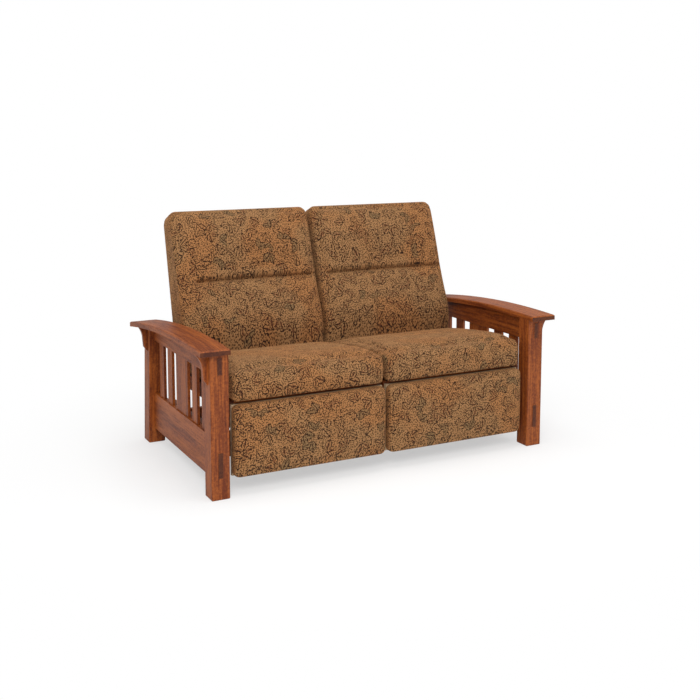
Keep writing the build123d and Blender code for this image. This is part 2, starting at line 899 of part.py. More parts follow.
# Back cushion: two full rolls with a sewn crease between them
with BuildPart() as back_cushion:
    for stretch_shares in cushion_shares:
        for station, drawn in stretch_shares:
            draw = back_draw_in * drawn
            top = back_height - back_top_draw * drawn
            rear_top = back_rear_top - back_top_draw * drawn
            crown = back_crown * crown_share(station)
            crease = back_crease_depth * end_fade(station)
            waist = (front_y + back_waist_setback + draw, back_waist_height)
            crease_point = (back_front_y(back_crease_height) + draw + crease, back_crease_height)
            shoulder = (back_front_y(top - back_corner) + draw, top - back_corner)
            brow = (shoulder[0] + back_corner * (1 + front_lean), top - back_corner * front_lean)
            lower_middle = (back_waist_height + back_crease_height) / 2
            upper_middle = (back_crease_height + shoulder[1]) / 2
            lower_crest = (back_front_y(lower_middle) + draw - crown, lower_middle)
            upper_crest = (back_front_y(upper_middle) + draw - crown, upper_middle)
            rear_foot = (back_rear_y(back_bottom, back_panel_thickness), back_bottom)
            rear_edge = (back_rear_y(rear_top, back_panel_thickness) - draw, rear_top)
            with BuildSketch(side_plane(seat_x + station * seat_width / 2)):
                with BuildLine():
                    Line(rear_foot, (waist[0], back_bottom))
                    Line((waist[0], back_bottom), waist)
                    ThreePointArc(waist, lower_crest, crease_point)
                    ThreePointArc(crease_point, upper_crest, shoulder)
                    RadiusArc(shoulder, brow, back_corner)
                    Line(brow, rear_edge)
                    Line(rear_edge, rear_foot)
                make_face()
        loft()
    with BuildSketch(side_plane(seat_x)):
        with BuildLine():
            back_slab(back_bottom, board_top, back_panel_thickness, back_board_front)
        make_face()
    extrude(amount=board_half, both=True, mode=Mode.SUBTRACT)
    with BuildSketch(side_plane(layer_x(swing_layer))):
        with BuildLine():
            back_slab(back_bottom, bracket_top, back_panel_thickness, bracket_deep)
        make_face()
    extrude(amount=plate_thickness, mode=Mode.SUBTRACT)
    with BuildSketch(side_plane(2 * seat_x - layer_x(swing_layer))):
        with BuildLine():
            back_slab(back_bottom, bracket_top, back_panel_thickness, bracket_deep)
        make_face()
    extrude(amount=-plate_thickness, mode=Mode.SUBTRACT)
left_pieces["back_cushion"] = back_cushion

# The right half mirrors the left
os.makedirs("parts", exist_ok=True)
for name, piece in shared_pieces.items():
    piece.part.label = name
    export_step(piece.part, f"parts/{name}.step")

for name, piece in left_pieces.items():
    with BuildPart() as right_piece:
        mirror(piece.part, about=Plane.YZ)
    piece.part.label = f"left_{name}"
    right_piece.part.label = f"right_{name}"
    export_step(piece.part, f"parts/left_{name}.step")
    export_step(right_piece.part, f"parts/right_{name}.step")
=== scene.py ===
from math import cos, pi, radians, sin

import bpy
import numpy as np
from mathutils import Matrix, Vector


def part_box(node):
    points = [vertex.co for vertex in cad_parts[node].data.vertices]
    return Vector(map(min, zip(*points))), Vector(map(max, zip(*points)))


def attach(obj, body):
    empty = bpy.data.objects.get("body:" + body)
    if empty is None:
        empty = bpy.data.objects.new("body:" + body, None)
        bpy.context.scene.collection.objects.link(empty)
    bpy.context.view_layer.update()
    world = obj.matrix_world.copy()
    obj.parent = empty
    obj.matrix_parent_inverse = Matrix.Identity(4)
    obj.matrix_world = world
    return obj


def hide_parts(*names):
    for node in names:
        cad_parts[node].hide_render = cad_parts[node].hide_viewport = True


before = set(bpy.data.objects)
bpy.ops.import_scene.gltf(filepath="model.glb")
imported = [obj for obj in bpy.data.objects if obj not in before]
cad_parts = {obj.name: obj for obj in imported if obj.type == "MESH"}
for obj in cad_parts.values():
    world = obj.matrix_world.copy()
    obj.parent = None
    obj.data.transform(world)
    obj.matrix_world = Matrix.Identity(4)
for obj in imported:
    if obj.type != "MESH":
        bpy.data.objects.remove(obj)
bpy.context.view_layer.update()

# Arms. Each is a bowed arm board on two square posts, joined by an upper and a lower rail
# with through tenons, with five slats between the rails and two corbels under the board.
# All are straight-grained hardwood with open pores, stained a reddish brown and lacquered.
wood_brown = (0.140, 0.026, 0.005, 1)
wood_light = (0.350, 0.092, 0.016, 1)
wood_pore = (0.035, 0.008, 0.004, 1)
wood_roughness = 0.5
wood_arris = 0.0025
grain_stretch = 0.045
grain_depth = 0.0004
tone_share, streak_share, fleck_share = 0.30, 0.50, 0.20
# The last share lays each wood edge towards the pale colour: partly wear and partly a painted
# highlight.
end_darkness, pore_darkness, arris_wear_and_highlight = 0.78, 0.75, 0.3
pore_roughness = 0.2


class Recipe:
    """The nodes of one finish or effect, with a short call for each step that they share."""

    def __init__(self, tree):
        self.tree = tree

    def fill(self, node, sockets):
        """Fills a node's sockets, each with a constant or with another node's output."""
        for socket, value in sockets.items():
            if isinstance(value, bpy.types.NodeSocket):
                self.tree.links.new(value, node.inputs[socket])
            else:
                node.inputs[socket].default_value = value

    def place(self, kind, sockets=None, **settings):
        """Adds a node with its settings made and its sockets filled."""
        made = self.tree.nodes.new(kind)
        for setting, value in settings.items():
            setattr(made, setting, value)
        self.fill(made, sockets or {})
        return made

    def use(self, effect, sockets):
        """Places a shared effect with its own values."""
        return self.place("ShaderNodeGroup", sockets, node_tree=effect.tree).outputs

    def here(self):
        """The place on the piece, in metres."""
        return self.place("ShaderNodeTexCoord").outputs["Object"]

    def maths(self, operation, *values):
        """One step of arithmetic on up to three values."""
        return self.place("ShaderNodeMath", dict(enumerate(values)),
                          operation=operation).outputs[0]

    def vector(self, operation, *values):
        """One step of arithmetic on up to three vectors."""
        return self.place("ShaderNodeVectorMath", dict(enumerate(values)),
                          operation=operation).outputs[0]

    def measure(self, operation, *values):
        """The length of a vector, or the dot product of two."""
        return self.place("ShaderNodeVectorMath", dict(enumerate(values)),
                          operation=operation).outputs["Value"]

    def fade(self, value, start, end, low=0.0, high=1.0):
        """A smooth change from low to high as the value goes from start to end."""
        return self.place("ShaderNodeMapRange", {
            "Value": value, "From Min": start, "From Max": end, "To Min": low, "To Max": high,
        }, interpolation_type="SMOOTHSTEP").outputs[0]

    def stain(self, share, below, above):
        """One colour laid over another by a varying share."""
        return self.place("ShaderNodeMix", {0: share, 6: below, 7: above},
                          data_type="RGBA").outputs[2]

    def mottle(self, vector, scale, detail, dimensions="3D", **more):
        """Soft uneven patches, from 0 to 1."""
        return self.place("ShaderNodeTexNoise", {
            "Vector": vector, "Scale": scale, "Detail": detail, **more,
        }, noise_dimensions=dimensions).outputs[0]

    def relief(self, height, strength, distance):
        """The normal of a surface raised by a height."""
        return self.place("ShaderNodeBump", {
            "Height": height, "Strength": strength, "Distance": distance,
        }).outputs[0]


def new_effect(name, inputs, outputs):
    """A shader node group: its recipe, what comes in by name, and the node it leaves by."""
    group = bpy.data.node_groups.new(name, "ShaderNodeTree")
    for way, sockets in (("INPUT", inputs), ("OUTPUT", outputs)):
        for label, kind in sockets.items():
            group.interface.new_socket(name=label, in_out=way, socket_type="NodeSocket" + kind)
    recipe = Recipe(group)
    return recipe, recipe.place("NodeGroupInput").outputs, recipe.place("NodeGroupOutput")


def new_finish(name):
    """A material with its recipe and its Principled shader."""
    finish = bpy.data.materials.new(name)
    finish.use_nodes = True
    return finish, Recipe(finish.node_tree), finish.node_tree.nodes["Principled BSDF"]


def use_finish(nodes, finish):
    """Gives CAD nodes a finish in every material slot they have."""
    for name in nodes:
        for material_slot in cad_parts[name].material_slots:
            material_slot.material = finish


# edge mask, shared by the wood and the steel: where an eased edge turns from its faces. On the
# wood it pales every edge, partly wear and partly a painted highlight; on the steel it marks worn
# bare metal
edge_wear_and_highlight, wear_in, wear_out = new_effect("edge wear and highlight", {"Radius": "Float"}, {"Edge": "Float"})
eased = edge_wear_and_highlight.place("ShaderNodeBevel", {"Radius": wear_in["Radius"]}, samples=4).outputs[0]
face_normal = edge_wear_and_highlight.place("ShaderNodeNewGeometry").outputs["Normal"]
edge_wear_and_highlight.fill(wear_out, {
    "Edge": edge_wear_and_highlight.fade(edge_wear_and_highlight.measure("DOT_PRODUCT", eased, face_normal), 0.995, 0.9),
})

# wood grain: tone, streaks and pores drawn out along the board, and the dark end grain
wood_grain, grain_in, grain_out = new_effect(
    "wood grain", {"Vector": "Vector", "Along": "Vector"},
    {"Figure": "Float", "Pores": "Float", "Ends": "Float", "Height": "Float"})
length_along = wood_grain.measure("DOT_PRODUCT", grain_in["Vector"], grain_in["Along"])
shortened = wood_grain.maths("MULTIPLY", length_along, grain_stretch - 1)
shortened_along = wood_grain.place("ShaderNodeCombineXYZ", {
    0: shortened, 1: shortened, 2: shortened,
}).outputs[0]
drawn_out = wood_grain.vector(
    "MULTIPLY_ADD", grain_in["Along"], shortened_along, grain_in["Vector"])
board_tone = wood_grain.mottle(drawn_out, scale=16.0, detail=2.0)
streaks = wood_grain.mottle(drawn_out, scale=105.0, detail=6.0, Roughness=0.68)
fine_pores = wood_grain.mottle(drawn_out, scale=850.0, detail=2.0)
flecks_across = wood_grain.mottle(grain_in["Vector"], scale=105.0, detail=1.0, Distortion=0.6)
figure = wood_grain.maths(
    "MULTIPLY_ADD", board_tone, tone_share, wood_grain.maths(
        "MULTIPLY_ADD", streaks, streak_share,
        wood_grain.maths("MULTIPLY", flecks_across, fleck_share)))
pores = wood_grain.maths("MULTIPLY", wood_grain.fade(fine_pores, 0.56, 0.68),
                         wood_grain.fade(streaks, 0.62, 0.42))
surface = wood_grain.place("ShaderNodeNewGeometry").outputs["Normal"]
end_facing = wood_grain.maths(
    "ABSOLUTE", wood_grain.measure("DOT_PRODUCT", surface, grain_in["Along"]))
wood_grain.fill(grain_out, {
    "Figure": wood_grain.fade(figure, 0.40, 0.60),
    "Pores": pores,
    "Ends": wood_grain.fade(end_facing, 0.8, 0.95),
    "Height": wood_grain.maths("MULTIPLY_ADD", pores, -1.0, figure),
})


def grained(name, along, deep, pale, pore, roughness):
    """A wood finish whose grain runs along one direction."""
    finish, recipe, shader = new_finish(name)
    grain = recipe.use(wood_grain, {"Vector": recipe.here(), "Along": along})
    # Each edge is laid towards the pale colour: partly rubbed wear and partly a painted highlight
    # along the arris.
    edge = recipe.use(edge_wear_and_highlight, {"Radius": wood_arris})["Edge"]
    body = recipe.stain(grain["Figure"], deep, pale)
    ends = recipe.stain(recipe.maths("MULTIPLY", grain["Ends"], end_darkness), body, pore)
    pored = recipe.stain(recipe.maths("MULTIPLY", grain["Pores"], pore_darkness), ends, pore)
    recipe.fill(shader, {
        "Base Color": recipe.stain(recipe.maths("MULTIPLY", edge, arris_wear_and_highlight), pored, pale),
        "Roughness": recipe.maths("MULTIPLY_ADD", grain["Pores"], pore_roughness, roughness),
        "Normal": recipe.relief(grain["Height"], strength=0.35, distance=grain_depth),
    })
    return finish, recipe, shader


def stained(name, along):
    """The reddish brown stain with its satin lacquer."""
    finish, recipe, shader = grained(name, along, wood_brown, wood_light, wood_pore,
                                     wood_roughness)
    recipe.fill(shader, {"Coat Weight": 0.08, "Coat Roughness": 0.30, "Specular IOR Level": 0.22})
    return finish


stained_upright = stained("stained wood upright", (0, 0, 1))
stained_lengthwise = stained("stained wood lengthwise", (0, 1, 0))
stained_across = stained("stained wood across", (1, 0, 0))
for side in ("left", "right"):
    use_finish([f"{side}_{piece}" for piece in ("front_post", "rear_post", "slats", "corbels")],
               stained_upright)
    use_finish([f"{side}_{piece}" for piece in ("arm_top", "upper_rail", "lower_rail")],
               stained_lengthwise)

# Base between the arms. Two stretchers cross from arm to arm on angle cleats, and three
# runners lie on them to carry the seats' brackets, all screwed together out of sight.
use_finish(["front_stretcher", "rear_stretcher"], stained_across)
use_finish(["centre_runner", "left_outer_runner", "right_outer_runner"], stained_lengthwise)

# Steel of the mechanism. Flat links, plates and brackets are punched from strip and riveted
# together, and the torsion tube is welded between two links; all are painted black.
steel_black = (0.022, 0.022, 0.024, 1)
steel_bare = (0.24, 0.235, 0.225, 1)
steel_arris = 0.0012
steel_depth = 0.0002
steel_finish, steel, steel_shader = new_finish("black painted steel")
steel_here = steel.here()
orange_peel = steel.mottle(steel_here, scale=420.0, detail=3.0)
rubbed = steel.mottle(steel_here, scale=60.0, detail=4.0)
bare = steel.maths("MULTIPLY", steel.use(edge_wear_and_highlight, {"Radius": steel_arris})["Edge"],
                   steel.fade(rubbed, 0.5, 0.62))
steel.fill(steel_shader, {
    "Base Color": steel.stain(bare, steel_black, steel_bare),
    "Metallic": bare,
    "Roughness": steel.fade(rubbed, 0.3, 0.7, 0.34, 0.52),
    "Normal": steel.relief(orange_peel, strength=0.15, distance=steel_depth),
})
use_finish(["stretcher_cleats"], steel_finish)
for side in ("left", "right"):
    use_finish([f"{side}_{piece}" for piece in (
        "base_brackets", "front_swing_links", "rear_swing_links", "seat_plates", "back_brackets",
        "footrest_main_links", "footrest_control_links", "footrest_carrier_links",
        "footrest_tilt_links", "footrest_torsion_tube", "footrest_brackets",
    )], steel_finish)

# Seat frames. Two stained rails and two boards are screwed into a box, and six straps of
# black elastic webbing are stapled across it to carry the cushion.
for side in ("left", "right"):
    use_finish([f"{side}_seat_rails"], stained_lengthwise)
    use_finish([f"{side}_seat_boards"], stained_across)

webbing_black = (0.020, 0.019, 0.018, 1)
webbing_stripe = (0.085, 0.062, 0.040, 1)
webbing_depth = 0.0005
webbing_finish, webbing, webbing_shader = new_finish("elastic webbing")
webbing_here = webbing.here()
ribs, picks = (
    webbing.place("ShaderNodeTexWave", {"Vector": webbing_here, "Scale": waves_per_metre},
                  bands_direction=direction).outputs["Fac"]
    for direction, waves_per_metre in (("Y", 160.0), ("X", 240.0))
)
weave = webbing.maths("MULTIPLY", ribs, picks)
webbing.fill(webbing_shader, {
    "Base Color": webbing.stain(weave, webbing_black, webbing_stripe),
    "Roughness": webbing.fade(weave, 0.0, 1.0, 0.95, 0.75),
    "Normal": webbing.relief(weave, strength=0.6, distance=webbing_depth),
})
use_finish(["left_seat_webbing", "right_seat_webbing"], webbing_finish)

# Boards inside the backs and behind the footrest pads. They are raw plywood, cut to size
# and hidden by the upholstery except where they show from below and behind.
ply_deep = (0.40, 0.27, 0.155, 1)
ply_pale = (0.58, 0.43, 0.27, 1)
ply_pore = (0.24, 0.15, 0.08, 1)
ply_roughness = 0.78
ply_finish = grained("raw plywood", (0, 0, 1), ply_deep, ply_pale, ply_pore, ply_roughness)[0]
for side in ("left", "right"):
    use_finish([f"{side}_back_board", f"{side}_footrest_board"], ply_finish)

# Footrest pads. Each is thin foam over its board, wrapped in the figured cloth, with a
# nearly flat face, rolled edges and soft corners.
cloth_camel = (0.375, 0.192, 0.078, 1)
cloth_orange = (0.405, 0.180, 0.064, 1)
cloth_dark = (0.018, 0.008, 0.005, 1)
cloth_rust = (0.170, 0.046, 0.018, 1)
cloth_sage = (0.110, 0.100, 0.050, 1)
cloth_depth = 0.0006
thread_pitch = 0.0016
drift_reach = 0.028
scroll_pitch = 0.0165
scroll_inner, scroll_outer = 0.027, 0.032
leaf_length = 0.0225
leaf_width = 0.0135
leaf_opening = 0.62
leaf_offset = (3.7, 5.1, 0.0)
lobe_turn, lobe_depth = 11.0, 0.10
rust_share, sage_share = 0.6, 0.4
speck_pitch = 0.0082
speck_darkness, fleck_darkness = 0.94, 0.45
gap_darkness = 0.42
thread_darkness = 0.22


def cells(recipe, vector, scale, randomness):
    """Cells scattered over the cloth, each with its middle and its own random draws."""
    made = recipe.place("ShaderNodeTexVoronoi", {
        "Vector": vector, "Scale": scale, "Randomness": randomness,
    }, voronoi_dimensions="2D").outputs
    draws = recipe.place("ShaderNodeSeparateColor", {0: made["Color"]}).outputs
    return made["Position"], draws


def sides(recipe, vector):
    """A vector's x, y and z."""
    return recipe.place("ShaderNodeSeparateXYZ", {0: vector}).outputs


def turned(recipe, vector, angle):
    """A vector turned on the cloth."""
    return recipe.place("ShaderNodeVectorRotate", {"Vector": vector, "Angle": angle},
                        rotation_type="Z_AXIS").outputs[0]


def line(recipe, distance, inner, outer):
    """A drawn line, full up to its inner half width and gone at its outer one."""
    return recipe.fade(distance, inner, outer, 1.0, 0.0)


cloth, cloth_in, cloth_out = new_effect(
    "figured cloth",
    {"Vector": "Vector", "Camel": "Color", "Orange": "Color", "Dark": "Color", "Rust": "Color",
     "Sage": "Color"},
    {"Color": "Color", "Roughness": "Float", "Height": "Float"})
lay = cloth_in["Vector"]
drift = cloth.place("ShaderNodeTexNoise", {"Vector": lay, "Scale": 14.0, "Detail": 1.0},
                    noise_dimensions="2D").outputs["Color"]
bent = cloth.vector("MULTIPLY_ADD", cloth.vector("SUBTRACT", drift, (0.5, 0.5, 0.5)),
                    (drift_reach, drift_reach, 0.0), lay)

# scrolls: a curl of either hand in most cells
scroll_middle, scroll_draw = cells(cloth, bent, scale=15.0, randomness=0.8)
scroll_arm = cloth.vector("SUBTRACT", bent, scroll_middle)
scroll_reach = cloth.measure("LENGTH", scroll_arm)
scroll_side = sides(cloth, scroll_arm)
scroll_turn = cloth.maths(
    "DIVIDE", cloth.maths("ARCTAN2", scroll_side[1], scroll_side[0]), 2 * pi)
scroll_hand = cloth.maths("SIGN", cloth.maths("SUBTRACT", scroll_draw[0], 0.5))
scroll_phase = cloth.maths(
    "ADD", cloth.maths("MULTIPLY_ADD", scroll_turn, scroll_hand, scroll_draw[1]),
    cloth.maths("DIVIDE", scroll_reach, scroll_pitch))
scroll_off = cloth.maths(
    "ABSOLUTE", cloth.maths("SUBTRACT", cloth.maths("FRACT", scroll_phase), 0.5))
scroll_kept = cloth.maths("MULTIPLY", line(cloth, scroll_reach, scroll_inner, scroll_outer),
                          cloth.fade(scroll_draw[2], 0.15, 0.20))
scrolls = cloth.maths("MULTIPLY", line(cloth, scroll_off, 0.07, 0.12), scroll_kept)

# leaves: a pair in each cell, opening from one stem, with lobed edges and midribs
leaf_here = cloth.vector("ADD", bent, leaf_offset)
leaf_middle, leaf_draw = cells(cloth, leaf_here, scale=16.0, randomness=0.85)
leaf_fold = sides(cloth, turned(cloth, cloth.vector("SUBTRACT", leaf_here, leaf_middle),
                                cloth.maths("MULTIPLY", leaf_draw[0], 2 * pi)))
leaf_stem = cloth.place("ShaderNodeCombineXYZ", {
    0: cloth.maths("ADD", leaf_fold[0], leaf_length), 1: cloth.maths("ABSOLUTE", leaf_fold[1]),
}).outputs[0]
leaf_side = sides(cloth, turned(cloth, leaf_stem, -leaf_opening))
leaf_run = cloth.maths("SUBTRACT", cloth.maths("DIVIDE", leaf_side[0], leaf_length), 1.0)
leaf_breadth = cloth.maths("DIVIDE", cloth.maths("ABSOLUTE", leaf_side[1]), leaf_width)
leaf_bow = cloth.maths("SUBTRACT", 1.0, cloth.maths("MULTIPLY", leaf_run, leaf_run))
leaf_lobes = cloth.maths(
    "MULTIPLY", cloth.maths("SINE", cloth.maths("MULTIPLY", leaf_run, lobe_turn)), lobe_depth)
leaf_shape = cloth.maths("ADD", cloth.maths("SUBTRACT", leaf_breadth, leaf_bow), leaf_lobes)
leaf_inside = cloth.fade(leaf_shape, 0.05, -0.05)
leaf_edge = line(cloth, cloth.maths("ABSOLUTE", leaf_shape), 0.12, 0.18)
leaf_rib = cloth.maths("MULTIPLY", leaf_inside, line(cloth, leaf_breadth, 0.10, 0.17))
scrolls_beside = cloth.maths("MULTIPLY", scrolls, cloth.fade(leaf_shape, 0.30, 0.55))
outlines = cloth.maths("MAXIMUM", cloth.maths("MAXIMUM", leaf_edge, leaf_rib), scrolls_beside)

# ground: camel with warm zones, then the leaves' fills, the outlines with their faint
# stretches, the specks and the weave
zones = cloth.mottle(lay, scale=4.0, detail=1.0, dimensions="2D")
flecks = cloth.mottle(lay, scale=230.0, detail=3.0, dimensions="2D")
gaps = cloth.mottle(lay, scale=75.0, detail=1.0, dimensions="2D")
ground = cloth.stain(cloth.fade(zones, 0.42, 0.62), cloth_in["Camel"], cloth_in["Orange"])
leaf_heart = cloth.fade(leaf_shape, -0.45, -0.75)
rust_fill = cloth.maths(
    "MULTIPLY", leaf_heart, cloth.fade(leaf_draw[2], 0.50, 0.55, 0.0, rust_share))
sage_fill = cloth.maths(
    "MULTIPLY", leaf_inside, cloth.fade(leaf_draw[2], 0.11, 0.08, 0.0, sage_share))
filled = cloth.stain(sage_fill, cloth.stain(rust_fill, ground, cloth_in["Rust"]),
                     cloth_in["Sage"])
broken = cloth.maths("MULTIPLY", outlines, cloth.fade(gaps, 0.36, 0.51, gap_darkness, 1.0))
drawn = cloth.stain(broken, filled, cloth_in["Dark"])
specks = cloth.place("ShaderNodeTexVoronoi", {
    "Vector": lay, "Scale": 1 / speck_pitch, "Randomness": 0.8,
}, voronoi_dimensions="2D").outputs["Distance"]
speckle = cloth.maths("MAXIMUM", cloth.fade(specks, 0.23, 0.34, speck_darkness, 0.0),
                      cloth.fade(flecks, 0.50, 0.66, 0.0, fleck_darkness))
flecked = cloth.stain(speckle, drawn, cloth_in["Dark"])
thread_run = sides(cloth, lay)
warp, weft = (
    cloth.maths("SINE", cloth.maths("MULTIPLY", thread_run[axis], 2 * pi / thread_pitch))
    for axis in (0, 1)
)
threads = cloth.maths("MULTIPLY", warp, weft)
cloth.fill(cloth_out, {
    "Color": cloth.stain(cloth.fade(threads, -1.0, 1.0, thread_darkness, 0.0), flecked,
                         cloth_in["Dark"]),
    "Roughness": cloth.fade(flecks, 0.3, 0.7, 0.82, 0.96),
    "Height": cloth.maths("MULTIPLY_ADD", outlines, -0.5,
                          cloth.maths("MULTIPLY", threads, 0.5)),
})

upholstery, covering, covering_shader = new_finish("figured upholstery")
figured = covering.use(cloth, {
    "Vector": covering.place("ShaderNodeUVMap", uv_map="cloth").outputs[0],
    "Camel": cloth_camel, "Orange": cloth_orange, "Dark": cloth_dark, "Rust": cloth_rust,
    "Sage": cloth_sage,
})
covering.fill(covering_shader, {
    "Base Color": figured["Color"],
    "Roughness": figured["Roughness"],
    "Normal": covering.relief(figured["Height"], strength=0.5, distance=cloth_depth),
    "Sheen Weight": 0.38,
    "Sheen Roughness": 0.45,
    "Sheen Tint": (0.80, 0.40, 0.17, 1),
    "Specular IOR Level": 0.15,
})


def rows_of(items, what):
    """Three numbers from each vertex or face of a mesh, as rows."""
    numbers = np.empty(len(items) * 3)
    items.foreach_get(what, numbers)
    return numbers.reshape(-1, 3)


def points_of(piece):
    """The piece's vertices as rows of x, y, z."""
    return rows_of(piece.data.vertices, "co")


def set_points(piece, points):
    """Puts the piece's vertices at these rows of x, y, z."""
    piece.data.vertices.foreach_set("co", points.ravel())
    piece.data.update()


def pick(piece):
    """Makes this piece the only one selected, and the active one."""
    bpy.ops.object.select_all(action="DESELECT")
    piece.select_set(True)
    bpy.context.view_layer.objects.active = piece


def new_piece(name, mesh):
    """A piece of this mesh, in the scene at the origin, and picked."""
    piece = bpy.data.objects.new(name, mesh)
    bpy.context.scene.collection.objects.link(piece)
    pick(piece)
    return piece


def change_whole(change, **settings):
    """Makes one edit to the whole mesh of the active piece."""
    bpy.ops.object.mode_set(mode="EDIT")
    bpy.ops.mesh.select_all(action="SELECT")
    change(**settings)
    bpy.ops.object.mode_set(mode="OBJECT")


weld_reach = 0.00005
skin_grid = 0.006


def soft_start(node_name, piece_name, slack):
    """An even closed skin over a soft solid, drawn in a little so that it has room to fill."""
    piece = new_piece(piece_name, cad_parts[node_name].data.copy())
    change_whole(bpy.ops.mesh.remove_doubles, threshold=weld_reach)
    set_points(piece, points_of(piece) - slack * rows_of(piece.data.vertices, "normal"))
    skin = piece.modifiers.new("Skin", "REMESH")
    skin.mode = "VOXEL"
    skin.voxel_size = skin_grid
    bpy.ops.object.modifier_apply(modifier=skin.name)
    return piece


def within(values, low, high, margin):
    """Eases values back inside two limits over a margin, with no hard edge."""
    over = np.maximum(values - (high - margin), 0)
    values = np.where(over > 0, high - margin + margin * (1 - np.exp(-over / margin)), values)
    under = np.maximum((low + margin) - values, 0)
    return np.where(under > 0, low + margin - margin * (1 - np.exp(-under / margin)), values)


filling_pressure = 4
filling_quality = 3
filling_steps = 20
sink_limit = 0.001
slide_share = 0.3


def fill_out(piece, held, cap):
    """Swells the cloth from inside; held points stay, no point moves further than the cap, and
    hardly any sinks, because the sewn edges keep a cover's outline."""
    start = points_of(piece)
    normals = rows_of(piece.data.vertices, "normal")
    piece.vertex_groups.new(name="held").add([int(i) for i in np.nonzero(held)[0]], 1.0, "REPLACE")
    pick(piece)
    filling = piece.modifiers.new("Filling", "CLOTH")
    filling.settings.vertex_group_mass = "held"
    filling.settings.quality = filling_quality
    filling.settings.use_pressure = True
    filling.settings.uniform_pressure_force = filling_pressure
    filling.settings.effector_weights.gravity = 0
    filling.collision_settings.use_collision = False
    for step in range(1, filling_steps + 1):
        bpy.context.scene.frame_set(step)
    bpy.ops.object.modifier_apply(modifier=filling.name)
    bpy.context.scene.frame_set(1)
    moved = points_of(piece) - start
    outward = (moved * normals).sum(1, keepdims=True)
    moved = np.maximum(outward, -sink_limit) * normals + slide_share * (moved - outward * normals)
    far = np.linalg.norm(moved, axis=1, keepdims=True)
    set_points(piece, start + moved * np.minimum(1, cap / np.maximum(far, 1e-9)))
    piece.vertex_groups.remove(piece.vertex_groups["held"])


def refine(piece):
    """One subdivision and smooth faces."""
    pick(piece)
    finer = piece.modifiers.new("Finer", "SUBSURF")
    finer.levels = 1
    finer.render_levels = 1
    bpy.ops.object.modifier_apply(modifier=finer.name)
    bpy.ops.object.shade_smooth()


end_slope = 0.75


def lay_cloth(piece, lean):
    """Lays the cloth's own flat map on a piece in metres: up the face and over the top in one
    run, and straight across on each end. The lean is the face's, from upright."""
    mesh = piece.data
    corner_points = np.empty(len(mesh.loops), dtype=np.int64)
    mesh.loops.foreach_get("vertex_index", corner_points)
    face_sizes = np.empty(len(mesh.polygons), dtype=np.int64)
    mesh.polygons.foreach_get("loop_total", face_sizes)
    sideways = np.abs(rows_of(mesh.polygons, "normal")[:, 0])
    on_end = np.repeat(sideways > end_slope, face_sizes)
    x, y, z = points_of(piece)[corner_points].T
    up = z * cos(lean) + y * sin(lean)
    back = y * cos(lean) - z * sin(lean)
    flat = np.where(on_end[:, None], np.stack([back, up], 1), np.stack([x, up + back], 1))
    mesh.uv_layers.new(name="cloth").data.foreach_set("uv", flat.ravel())


def dress(piece, body, node_name):
    """Puts the figured cloth on a soft piece and sets it on its body in place of its solid."""
    piece.data.materials.clear()
    piece.data.materials.append(upholstery)
    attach(piece, body)
    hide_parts(node_name)


def mirrored(piece, name):
    """The same piece on the other side of the middle, facing outwards."""
    other = new_piece(name, piece.data.copy())
    set_points(other, points_of(other) * (-1, 1, 1))
    change_whole(bpy.ops.mesh.normals_make_consistent, inside=False)
    return other


def face_of(points, axis, looks):
    """The outermost face on one side: its axis, its place and the side, -1 or 1, it looks to."""
    return axis, points[:, axis].min() if looks < 0 else points[:, axis].max(), looks


def roll_edge(points, face, other_face, depths):
    """Rolls the edge where two faces meet into a quarter oval. The depths are how far the roll
    reaches from each of the faces."""
    (axis, edge, looks), (other_axis, other_edge, other_looks) = face, other_face
    depth, other_depth = depths
    inset = 1 - (edge - points[:, axis]) * looks / depth
    other_inset = 1 - (other_edge - points[:, other_axis]) * other_looks / other_depth
    reach = np.hypot(np.maximum(inset, 0), np.maximum(other_inset, 0))
    outside = (inset > 0) & (other_inset > 0) & (reach > 1)
    share = np.where(outside, 1 / np.maximum(reach, 1e-9), 1)
    points[:, axis] += looks * depth * inset * (share - 1)
    points[:, other_axis] += other_looks * other_depth * other_inset * (share - 1)


pad_slack = 0.0012
pad_held = 0.009
pad_swell = 0.008
pad_face_roll = (0.020, 0.024)
pad_corner_roll = (0.026, 0.026)
face_margin = 0.004
pad_low, pad_high = (np.array(corner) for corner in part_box("left_footrest_pad"))
footrest_pad = soft_start("left_footrest_pad", "left_footrest_pad_cloth", pad_slack)
fill_out(footrest_pad, points_of(footrest_pad)[:, 1] > pad_high[1] - pad_held, pad_swell)
pad_points = points_of(footrest_pad)
for axis in (0, 2):
    pad_points[:, axis] = within(pad_points[:, axis], pad_low[axis], pad_high[axis], face_margin)
pad_front = face_of(pad_points, 1, -1)
pad_ends = [face_of(pad_points, 0, looks) for looks in (-1, 1)]
pad_edges = [face_of(pad_points, 2, looks) for looks in (-1, 1)]
for pad_end in pad_ends:
    roll_edge(pad_points, pad_end, pad_front, pad_face_roll)
    for pad_edge in pad_edges:
        roll_edge(pad_points, pad_end, pad_edge, pad_corner_roll)
for pad_edge in pad_edges:
    roll_edge(pad_points, pad_edge, pad_front, pad_face_roll)
set_points(footrest_pad, pad_points)
for side, pad in (("left", footrest_pad),
                  ("right", mirrored(footrest_pad, "right_footrest_pad_cloth"))):
    refine(pad)
    lay_cloth(pad, lean=0)
    dress(pad, f"{side}_footrest", f"{side}_footrest_pad")

